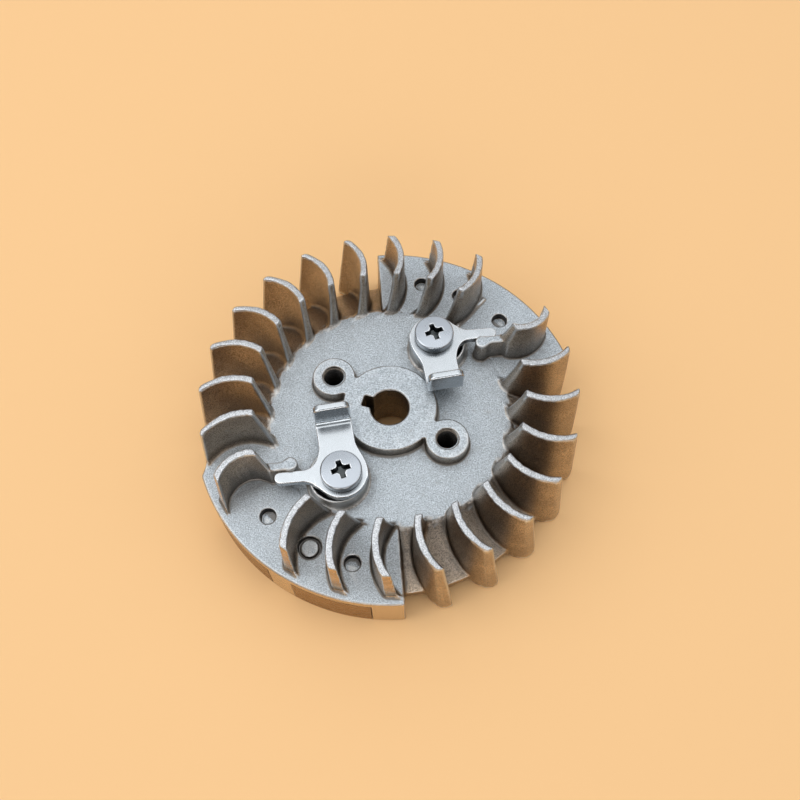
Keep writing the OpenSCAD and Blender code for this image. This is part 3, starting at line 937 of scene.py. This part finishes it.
def at_station(obj, half):
    """Moves a mesh made about the screw's axis to its own station."""
    s = turn(SCREW_XY, half) * MM
    spin = Matrix.Rotation(math.radians(half), 4, "Z")
    obj.data.transform(Matrix.Translation((s[0], s[1], 0)) @ spin)
    obj.data.update()


def pair(names, grid, triangles, reach, is_screw):
    """Two equal pieces at the two stations, with painted shade in their recesses."""
    first = mesh_from(names[0], *skin(grid))
    thin_out(first, triangles)
    edge_tone(first, grid, reach)
    x, y, z = places(first).T
    r = np.hypot(x, y)
    # painted shade in the cross recess, and for a screw in the gap under its head
    dark = np.where((r < 3) & (z > HEAD_Z - 0.8), (SCREW_TOP - 0.25 - z) / 0.5, 0)
    if is_screw:
        under = (r > SHOULDER_R) & (r < HEAD_R + 0.1)
        dark = np.maximum(dark, np.where(under, (HEAD_Z + 0.45 - z) / 0.3, 0))
    store(first, "recess_shade", unit(dark))
    second = add_object(names[1], first.data.copy())
    for obj, half in ((first, 0), (second, 180)):
        at_station(obj, half)
        smooth_by_area(obj.data)
    return first, second


PAWL_TRIANGLES = 16_000
SCREW_TRIANGLES = 12_000
pawls = pair(("pawl_plate_1", "pawl_plate_2"), pawl_grid(), PAWL_TRIANGLES, 0.25, False)
screws = pair(("pan_head_screw_1", "pan_head_screw_2"), screw_grid(), SCREW_TRIANGLES, 0.2, True)
springs = [spring_mesh("torsion_spring_1"), spring_mesh("torsion_spring_2")]
for k, body in enumerate(("pawl_a", "pawl_b")):
    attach(pawls[k], body)
    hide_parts(f"pawl_{k + 1}")
    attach(screws[k], "flywheel")
    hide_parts(f"pawl_screw_{k + 1}")
    at_station(springs[k], 180 * k)
    sharp_smooth(springs[k], 60)
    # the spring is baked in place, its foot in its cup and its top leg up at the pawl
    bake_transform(springs[k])
    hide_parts(f"pawl_spring_{k + 1}")
shoes = [shoe_mesh("laminated_shoe_leading", 1), shoe_mesh("laminated_shoe_trailing", -1)]
for shoe, node in zip(shoes, ("pole_shoe_leading", "pole_shoe_trailing")):
    sharp_smooth(shoe, 50)
    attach(shoe, "flywheel")
    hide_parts(node)

# ---- materials ----


class Shade:
    """Short names for building a metal's nodes."""

    def __init__(self, name):
        self.material = bpy.data.materials.new(name)
        self.material.use_nodes = True
        self.tree = self.material.node_tree
        self.shader = self.tree.nodes["Principled BSDF"]
        self.shader.inputs["Metallic"].default_value = 1.0
        place = self.node("TexCoord")
        self.place, self.normal = place.outputs["Object"], place.outputs["Normal"]

    def node(self, kind):
        return self.tree.nodes.new("ShaderNode" + kind)

    def link(self, value, socket):
        if isinstance(value, (int, float)):
            socket.default_value = value
        elif isinstance(value, tuple):
            is_colour = len(value) == 3 and len(socket.default_value) == 4
            socket.default_value = (*value, 1) if is_colour else value
        else:
            self.tree.links.new(value, socket)

    def math(self, operation, a, b=0.0):
        n = self.node("Math")
        n.operation = operation
        self.link(a, n.inputs[0])
        self.link(b, n.inputs[1])
        return n.outputs[0]

    def times(self, first, *others):
        for value in others:
            first = self.math("MULTIPLY", first, value)
        return first

    def plus(self, a, b):
        return self.math("ADD", a, b)

    def length(self, a, b):
        return self.math("SQRT", self.plus(self.times(a, a), self.times(b, b)))

    def span(self, value, low, high, to_low=0.0, to_high=1.0):
        """Maps low..high to to_low..to_high, clamped and smooth."""
        n = self.node("MapRange")
        n.interpolation_type = "SMOOTHSTEP"
        self.link(value, n.inputs["Value"])
        for key, limits in (("From", (low, high)), ("To", (to_low, to_high))):
            for end, v in zip(("Min", "Max"), limits):
                n.inputs[f"{key} {end}"].default_value = v
        return n.outputs["Result"]

    def band(self, value, low_mm, high_mm, to_low=0.0, to_high=1.0):
        return self.span(value, low_mm * MM, high_mm * MM, to_low, to_high)

    def noise(self, size_mm, detail=2.0, rough=0.5, stretch=None):
        """Noise whose lumps are about that size."""
        n = self.node("TexNoise")
        n.inputs["Scale"].default_value = 1 / (size_mm * MM)
        n.inputs["Detail"].default_value = detail
        n.inputs["Roughness"].default_value = rough
        place = self.place
        if stretch:
            m = self.node("Mapping")
            m.inputs["Scale"].default_value = stretch
            self.link(place, m.inputs["Vector"])
            place = m.outputs["Vector"]
        self.link(place, n.inputs["Vector"])
        return n.outputs["Fac"]

    def split(self, vector):
        n = self.node("SeparateXYZ")
        self.link(vector, n.inputs[0])
        return n.outputs

    def between(self, kind, first, out, factor, a, b):
        n = self.node("Mix")
        n.data_type = kind
        self.link(factor, n.inputs["Factor"])
        self.link(a, n.inputs[first])
        self.link(b, n.inputs[first + 1])
        return n.outputs[out]

    def mix(self, factor, a, b):
        """A colour between a and b."""
        return self.between("RGBA", 6, 2, factor, a, b)

    def blend(self, factor, a, b):
        """A number between a and b."""
        return self.between("FLOAT", 2, 0, factor, a, b)

    def stored(self, name):
        n = self.node("Attribute")
        n.attribute_name = name
        return n.outputs["Fac"]

    def bump(self, height, depth_mm, strength=1.0):
        n = self.node("Bump")
        n.inputs["Strength"].default_value = strength
        n.inputs["Distance"].default_value = depth_mm * MM
        self.link(height, n.inputs["Height"])
        self.link(n.outputs["Normal"], self.shader.inputs["Normal"])

    def finish(self, colour, roughness):
        self.link(colour, self.shader.inputs["Base Color"])
        self.link(roughness, self.shader.inputs["Roughness"])
        return self.material


BLAST_DARK, BLAST_PALE = (0.29, 0.325, 0.355), (0.71, 0.765, 0.81)
BLAST_MID, BLAST_SPARK = (0.30, 0.325, 0.345), (0.80, 0.84, 0.87)
# the drafted sides' tones: their own grain, with a warm brown that is a painted reflection of the
# orange floor and a darker tone that is painted shade
SIDE_DARK, SIDE_PALE = (0.45, 0.355, 0.265), (0.65, 0.52, 0.39)
SIDE_GRAIN, SIDE_SPARK = (0.21, 0.17, 0.13), (0.70, 0.64, 0.57)
# painted shade for the lower, inner parts of the sides
LOW_SHADE_PALE, LOW_SHADE_DARK = (0.30, 0.29, 0.28), (0.12, 0.115, 0.11)
# a real stain tone, then the painted shade for corners and round the cups and nubs
STAIN, CORNER_SHADE = (0.36, 0.34, 0.33), (0.12, 0.11, 0.10)
# painted shade in concave creases, then painted shade inside holes
CREASE_SHADE, HOLE_SHADE = (0.20, 0.18, 0.16), (0.035, 0.035, 0.037)
BRIM, BARE = (0.70, 0.69, 0.67), (0.72, 0.74, 0.75)
CUP_EDGE, CHIP = (0.62, 0.62, 0.61), (0.80, 0.80, 0.79)
GROUND_DARK, GROUND_PALE = (0.40, 0.415, 0.43), (0.74, 0.76, 0.785)
# a warm tint for the turned rim and the lathe-cut vane ends, a painted reflection of the orange
# floor
TURNED, CUT_DARK, CUT_PALE = (0.64, 0.52, 0.375), (0.46, 0.34, 0.22), (0.62, 0.47, 0.31)


def shade_about(s, x, y, z, corner_shade, stain):
    """Adds painted shade on the web round the spring cups and the nubs, broken up by the stain
    noise.
    """
    above = s.band(z, WEB_Z + 0.6, WEB_Z + 0.1)
    nubs = [turn((29.2, 2.6), STOP_ANGLE + half) for half in HALVES]
    for cup, nub in zip(CUPS, nubs):
        for spot, inner, outer in ((cup, 7.4, 10.5), (nub, 1.8, 4.2)):
            dx, dy = (s.math("SUBTRACT", v, c * MM) for v, c in ((x, spot[0]), (y, spot[1])))
            near = s.band(s.length(dx, dy), outer, inner, 0, 0.75)
            near = s.times(near, s.span(stain, 0.35, 0.65), above)
            corner_shade = s.math("MAXIMUM", corner_shade, near)
    return corner_shade


def cast_material():
    """Shot-blasted flats, smoother drafted sides, ground vane tops and a turned rim, with painted
    shade in corners, creases, holes and low on the sides, and a painted warm floor reflection on
    the sides and rim.
    """
    s = Shade("die_cast_aluminium")
    x, y, z = s.split(s.place)
    nx, ny, nz = s.split(s.normal)
    radius = s.length(x, y)
    radial = s.math("DIVIDE", s.plus(s.times(x, nx), s.times(y, ny)), radius)
    flat = s.span(nz, 0.86, 0.97)
    top = s.times(s.band(z, 23.5, 25.0), s.span(nz, 0.6, 0.85))
    # the lathe's cut is crisp on the sectors and faint on the free vanes
    mid, half = math.radians(SECTOR_MID), math.radians(SECTOR_HALF)
    along = s.math("ABSOLUTE", s.plus(s.times(x, math.cos(mid)), s.times(y, math.sin(mid))))
    on_sector = s.math("GREATER_THAN", along, s.times(radius, math.cos(half)))
    turned = s.times(s.band(radius, 46.2, 46.7), s.span(radial, 0.88, 0.96))
    turned = s.times(turned, s.blend(on_sector, 0.12, 1.0))
    edge = s.stored("edge")
    # large flat faces below carry no wear or painted crease shade of their own
    under = s.span(nz, -0.995, -0.95)
    worn = s.times(s.span(edge, 0.62, 0.95), under)
    # where concave edges get painted shade
    hollow = s.times(s.span(edge, 0.42, 0.12), under)
    grain, speck = s.noise(0.31, 3.0, 0.65), s.noise(0.19, 1.5)
    mottle = s.noise(1.5, 2.0, 0.6)
    cloud, stain = s.noise(9.0, 3.0, 0.6), s.noise(2.6, 4.0, 0.7)
    blasted = s.mix(s.span(grain, 0.33, 0.67), BLAST_DARK, BLAST_PALE)
    blasted = s.mix(s.span(mottle, 0.4, 0.75, 0, 0.22), blasted, BLAST_MID)
    blasted = s.mix(s.span(speck, 0.62, 0.74, 0, 0.5), blasted, BLAST_SPARK)
    # the drafted sides: their own grain, and a warm brown, darker tone that is a painted floor
    # reflection and painted shade
    side = s.mix(s.span(cloud, 0.35, 0.65), SIDE_DARK, SIDE_PALE)
    side = s.mix(s.span(grain, 0.42, 0.60, 0, 0.9), side, SIDE_GRAIN)
    side = s.mix(s.span(speck, 0.66, 0.74, 0, 0.5), side, SIDE_SPARK)
    above_web = s.band(z, WEB_Z - 0.3, WEB_Z + 0.5)
    # painted shade: the sides darken towards their foot and towards the hub
    low = s.times(s.band(z, 25.0, 16.0), s.band(radius, 46.0, 40.0))
    low = s.times(low, s.blend(s.times(on_sector, above_web), 0.4, 0.7))
    side = s.mix(low, side, s.mix(s.span(grain, 0.4, 0.6), LOW_SHADE_PALE, LOW_SHADE_DARK))
    colour = s.mix(flat, side, blasted)
    colour = s.mix(s.times(s.span(stain, 0.58, 0.75), 0.35), colour, STAIN)
    # the brim gets little of the painted shade, and a pale mottled tone
    shade_kept = s.span(s.stored("brim"), 0.2, 0.8, 1.0, 0.15)
    brim = s.times(s.stored("brim"), s.span(mottle, 0.36, 0.6, 0.15, 0.8))
    colour = s.mix(s.times(brim, s.span(nz, 0.999, 0.97)), colour, BRIM)
    # painted shade in concave corners, none on faces that look straight up, broken up by the stain
    # noise
    corner_shade = s.times(s.stored("corner_shade"), s.span(nz, 0.995, 0.9), s.span(stain, 0.3, 0.65, 0.45, 1.0))
    corner_shade = shade_about(s, x, y, z, s.times(corner_shade, shade_kept), stain)
    colour = s.mix(s.times(corner_shade, 0.85), colour, CORNER_SHADE)
    # painted shade in concave creases, less on the brim
    colour = s.mix(s.times(hollow, 0.8, shade_kept), colour, CREASE_SHADE)
    bare = s.times(s.band(radius, 19.0, 22.0, 0.2, 0.75), s.band(radius, 49.0, 48.0, 0.4, 1.0))
    colour = s.mix(s.times(worn, bare), colour, BARE)
    colour = s.mix(top, colour, s.mix(s.span(grain, 0.36, 0.64), GROUND_DARK, GROUND_PALE))
    colour = s.mix(s.times(s.stored("cup"), 0.8), colour, CUP_EDGE)
    # the turned rim and vane ends get a warm tint, a painted reflection of the orange floor
    cut = s.mix(s.span(mottle, 0.35, 0.65), CUT_DARK, CUT_PALE)
    colour = s.mix(turned, colour, s.mix(above_web, TURNED, cut))
    # chipped lower corners of the free vanes
    chips = s.times(s.band(z, 2.2, 1.0), s.band(radius, 46.6, 47.4), s.band(radius, 49.6, 49.4))
    chips = s.times(chips, s.span(mottle, 0.36, 0.48), s.blend(on_sector, 1.0, 0.0))
    colour = s.mix(chips, colour, CHIP)
    # painted shade deep in the holes, wells and keyway, and on the blind holes' walls
    dark = s.math("MAXIMUM", s.stored("recess_shade"), s.times(s.stored("blind"), s.span(nz, 0.85, 0.5)))
    colour = s.mix(s.times(dark, 0.92), colour, HOLE_SHADE)
    rough = s.plus(s.blend(flat, 0.33, 0.52), s.span(grain, 0.3, 0.7, -0.07, 0.07))
    rough = s.blend(s.times(worn, 0.7), rough, 0.30)
    rough = s.blend(turned, s.blend(top, rough, 0.42), 0.22)
    lines = s.noise(0.12, 1.0, 0.5, (0.05, 0.05, 1.0))
    height = s.plus(s.times(grain, s.blend(flat, 0.75, 1.0)), s.times(speck, 0.4))
    height = s.plus(height, s.times(stain, top, 2.0))
    height = s.blend(turned, height, s.times(lines, 0.25))
    s.bump(height, 0.12, 1.0)
    return s.finish(colour, rough)


def shaded(colour, factor):
    return tuple(factor * c for c in colour)


def zinc_material(name, tint, side, roughness):
    """Bright zinc plating with fine handling marks, and painted shade on its sides, in its corners
    and in its recesses.
    """
    s = Shade(name)
    edge = s.stored("edge")
    nz = s.split(s.normal)[2]
    cloud, fine = s.noise(3.5, 3.0), s.noise(0.25, 2.0)
    scratch = s.noise(0.5, 2.0, 0.6, (1.0, 0.06, 1.0))
    colour = s.mix(s.span(cloud, 0.35, 0.65), shaded(tint, 0.94), tint)
    # painted shade: faces that look sideways or down are darker
    colour = s.mix(s.span(nz, 0.5, 0.1), colour, shaded(tint, side))
    # painted shade in concave corners
    colour = s.mix(s.times(s.span(edge, 0.44, 0.15), 0.6), colour, (0.30, 0.31, 0.32))
    colour = s.mix(s.times(s.span(edge, 0.6, 0.9), 0.6), colour, (0.93, 0.95, 0.97))
    # painted shade in the cross recess and under the screw head
    colour = s.mix(s.times(s.stored("recess_shade"), 0.88), colour, (0.03, 0.035, 0.033))
    rough = s.span(cloud, 0.3, 0.7, roughness - 0.02, roughness + 0.04)
    rough = s.plus(rough, s.span(scratch, 0.62, 0.78, 0, 0.08))
    height = s.plus(s.times(cloud, 1.5), s.plus(s.times(fine, 0.12), s.times(scratch, 0.15)))
    s.bump(height, 0.007, 0.5)
    return s.finish(colour, rough)


def steel_material(name, dark, light, roughness, size_mm=0.5, stretch=None):
    """Plain steel, drawn along its length where stretched."""
    s = Shade(name)
    grain, cloud = s.noise(size_mm, 3.0, 0.6, stretch), s.noise(size_mm * 8, 3.0)
    colour = s.mix(s.span(grain, 0.3, 0.7), dark, light)
    colour = s.mix(s.times(s.span(cloud, 0.5, 0.8), 0.4), colour, shaded(dark, 0.7))
    s.bump(grain, 0.02, 0.6)
    return s.finish(colour, s.span(grain, 0.3, 0.7, roughness - 0.06, roughness + 0.08))


def paint(obj, material):
    obj.data.materials.clear()
    obj.data.materials.append(material)


PAWL_TINT, SCREW_TINT = (0.53, 0.565, 0.595), (0.42, 0.455, 0.50)
WIRE_DARK, WIRE_PALE = (0.22, 0.22, 0.23), (0.50, 0.50, 0.52)
SHOE_DARK, SHOE_PALE = (0.26, 0.16, 0.075), (0.38, 0.24, 0.12)
INNER_LOOKS = {
    "magnet": ((0.07, 0.07, 0.075), (0.13, 0.13, 0.135), 0.5),
    "counterweight": ((0.25, 0.25, 0.26), (0.38, 0.38, 0.39), 0.45),
    "pole_shoe_rivets": ((0.35, 0.35, 0.36), (0.55, 0.55, 0.56), 0.35),
}

paint(casting, cast_material())
for k in (0, 1):
    # the number after each tint darkens the part's sides: painted shade
    paint(pawls[k], zinc_material(f"zinc_plate_{k + 1}", PAWL_TINT, 0.85, 0.24))
    paint(screws[k], zinc_material(f"zinc_screw_{k + 1}", SCREW_TINT, 0.6, 0.27))
    paint(springs[k], steel_material(f"spring_wire_{k + 1}", WIRE_DARK, WIRE_PALE, 0.32))
    steel = (f"silicon_steel_{k + 1}", SHOE_DARK, SHOE_PALE, 0.26, 0.4, (0.1, 0.1, 1.0))
    paint(shoes[k], steel_material(*steel))
for node, look in INNER_LOOKS.items():
    slots = frame["nodes"][node].data.materials
    inner = steel_material(f"{node}_steel", *look)
    for k in range(len(slots)):
        slots[k] = inner

# ---- floor, light and camera ----

bpy.ops.mesh.primitive_plane_add(size=6, location=(0, 0, 0))
floor = bpy.context.object
floor.name = "floor"
floor_mat = bpy.data.materials.new("floor")
floor_mat.use_nodes = True
paper = floor_mat.node_tree.nodes["Principled BSDF"].inputs
paper["Base Color"].default_value = (0.90, 0.565, 0.277, 1)
paper["Roughness"].default_value = 0.85
paper["Specular IOR Level"].default_value = 0.1
floor.data.materials.append(floor_mat)

world = bpy.data.worlds.new("studio")
bpy.context.scene.world = world
world.use_nodes = True
background = world.node_tree.nodes["Background"].inputs
background["Color"].default_value = (0.92, 0.96, 1.0, 1)
background["Strength"].default_value = 0.24


def area_light(name, place, aim, size, power):
    data = bpy.data.lights.new(name, "AREA")
    data.shape = "RECTANGLE"
    data.size, data.size_y = size
    data.energy = power
    obj = add_object(name, data)
    obj.location = place
    obj.rotation_euler = (Vector(aim) - Vector(place)).to_track_quat("-Z", "Y").to_euler()


area_light("overhead_softbox", (-0.15, 0.15, 1.0), (-0.15, 0.15, 0), (1.1, 0.72), 3.6)
area_light("back_softbox", (0.1, 1.0, 0.95), (0.05, 0.7, 0), (2.0, 1.0), 5.2)
area_light("left_softbox", (-0.95, -0.15, 0.9), (0, 0, 0), (1.0, 1.4), 7.0)
area_light("right_softbox", (0.95, -0.15, 0.9), (0, 0, 0), (1.0, 1.4), 4.0)
area_light("front_fill", (0, -1.3, 0.5), (0, 0, 0), (1.6, 0.5), 6.5)

# camera at the photograph's viewing angle
ELEVATION, DISTANCE = math.radians(63.49), 228.77
SENSOR_MM, LENS_MM = 36, 40.46355
TURN_X, TURN_Y, ROLL = math.radians(-0.66), math.radians(-0.43), math.radians(-1.93)


def camera_axes():
    """The camera's place, and its right, down and forward axes, in the pad's plane."""
    eye = np.array([0, -DISTANCE * math.cos(ELEVATION), DISTANCE * math.sin(ELEVATION)])
    forward = -eye / np.linalg.norm(eye)
    right = np.array([1.0, 0, 0])
    axes = np.array([right, -np.cross(right, forward), forward])
    for angle, axis in ((ROLL, "Z"), (TURN_Y, "X"), (TURN_X, "Y")):
        axes = np.array(Matrix.Rotation(angle, 3, axis)) @ axes
    return eye, axes


eye, axes = camera_axes()
camera_data = bpy.data.cameras.new("camera")
camera_data.sensor_width = SENSOR_MM
camera_data.lens = LENS_MM
camera_data.clip_start = 0.01
camera = add_object("camera", camera_data)
pose = np.identity(4)
pose[:3, :3] = np.stack([axes[0], -axes[1], -axes[2]], 1)
pose[:3, 3] = (eye + [0, 0, PAD_Z]) * MM
camera.matrix_world = Matrix(pose)
bpy.context.scene.camera = camera
bpy.context.scene.view_settings.view_transform = "Standard"
